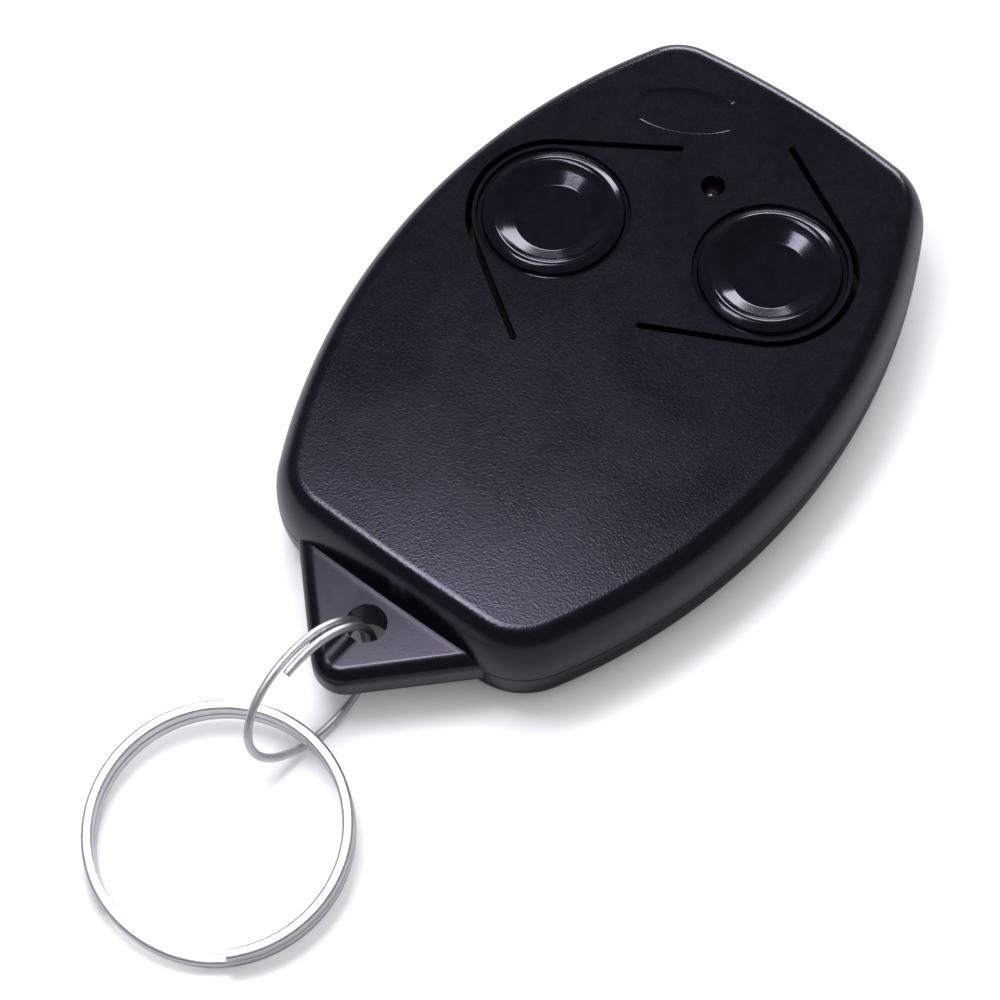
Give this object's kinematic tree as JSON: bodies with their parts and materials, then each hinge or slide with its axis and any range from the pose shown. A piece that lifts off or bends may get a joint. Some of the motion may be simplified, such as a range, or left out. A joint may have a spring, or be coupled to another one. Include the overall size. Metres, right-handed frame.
{
  "type": "gate remote control",
  "caption": "Pocket remote for a gate or door: oval-sided moulded casing with dished flexing keys, a lamp hole, a key tab, a wire jump ring and a split key ring.",
  "frame": {"origin": "middle of the flat back of the casing, at the level the remote rests on", "axes": "+Z out of the keyed face, +Y towards the lamp end, -Y towards the key tab and rings, +X to the right seen from the keyed face"},
  "size_m": [0.038, 0.0832, 0.0103],
  "materials": {
    "casing_plastic": "fine spark-eroded texture, near black",
    "screw_steel": "zinc plated",
    "board_laminate": "green solder resist, satin",
    "track_copper": "gold flashed copper, satin",
    "lamp_resin": "clear tinted resin",
    "tinned_legs": "bright tin",
    "cell_steel": "nickel plated, fine brushed",
    "seal_plastic": "satin",
    "contact_nickel": "nickel plated sheet",
    "chip_epoxy": "moulded epoxy",
    "ceramic": "fired ceramic",
    "ferrite": "fired ferrite",
    "switch_plastic": "satin",
    "ring_wire": "bright nickel plate"
  },
  "bodies": {
    "casing": {"front_cover": "casing_plastic", "back_cover": "casing_plastic", "cover_screw": "screw_steel", "circuit_board": "board_laminate", "antenna_track": "track_copper", "indicator_lamp": "lamp_resin", "indicator_lamp_leads": "tinned_legs", "coin_cell_can": "cell_steel", "coin_cell_seal": "seal_plastic", "coin_cell_cap": "cell_steel", "battery_clip": "contact_nickel", "battery_contact": "contact_nickel", "encoder_chip": "chip_epoxy", "encoder_chip_pins": "tinned_legs", "resonator_base": "ceramic", "resonator_lid": "contact_nickel", "transistor": "chip_epoxy", "transistor_legs": "tinned_legs", "choke_coil": "ferrite", "chip_resistors": "chip_epoxy", "chip_capacitors": "ceramic", "switch_base_left": "switch_plastic", "switch_frame_left": "contact_nickel", "switch_dome_left": "contact_nickel", "switch_terminals_left": "tinned_legs", "switch_base_right": "switch_plastic", "switch_frame_right": "contact_nickel", "switch_dome_right": "contact_nickel", "switch_terminals_right": "tinned_legs"},
    "left_key": {"key_left": "casing_plastic"},
    "right_key": {"key_right": "casing_plastic"},
    "left_plunger": {"switch_plunger_left": "switch_plastic"},
    "right_plunger": {"switch_plunger_right": "switch_plastic"},
    "jump_ring": {"jump_ring": "ring_wire"},
    "key_ring": {"key_ring": "ring_wire"}
  },
  "joints": [
    {"name": "left_key_press", "type": "hinge", "parent": "casing", "child": "left_key", "pos_m": [-0.00315, 0.0055, 0.01], "axis": [0, -1, 0], "range_deg": [0, 2.5], "stiffness_Nm_per_rad": 0.25},
    {"name": "right_key_press", "type": "hinge", "parent": "casing", "child": "right_key", "pos_m": [0.00095, 0.0113, 0.01], "axis": [0, 1, 0], "range_deg": [0, 2.5], "stiffness_Nm_per_rad": 0.25},
    {"name": "left_plunger_travel", "type": "slide", "parent": "casing", "child": "left_plunger", "axis": [0, 0, -1], "range_m": [0, 0.00027], "deforming": ["switch_dome_left"]},
    {"name": "right_plunger_travel", "type": "slide", "parent": "casing", "child": "right_plunger", "axis": [0, 0, -1], "range_m": [0, 0.00027], "deforming": ["switch_dome_right"]},
    {"name": "jump_ring_turn", "type": "hinge", "parent": "casing", "child": "jump_ring", "pos_m": [0, -0.0289, 0.00455], "axis": [0, 0, 1], "range_deg": [-40, 40]},
    {"name": "key_ring_swing", "type": "hinge", "parent": "jump_ring", "child": "key_ring", "pos_m": [0.00042, -0.03735, 0.00236], "axis": [-1, 0, 0], "range_deg": [-30, 85]}
  ],
  "couplings": [
    {"joint": "left_plunger_travel", "follows": "left_key_press", "m_per_rad": 0.00605},
    {"joint": "right_plunger_travel", "follows": "right_key_press", "m_per_rad": 0.00605}
  ]
}
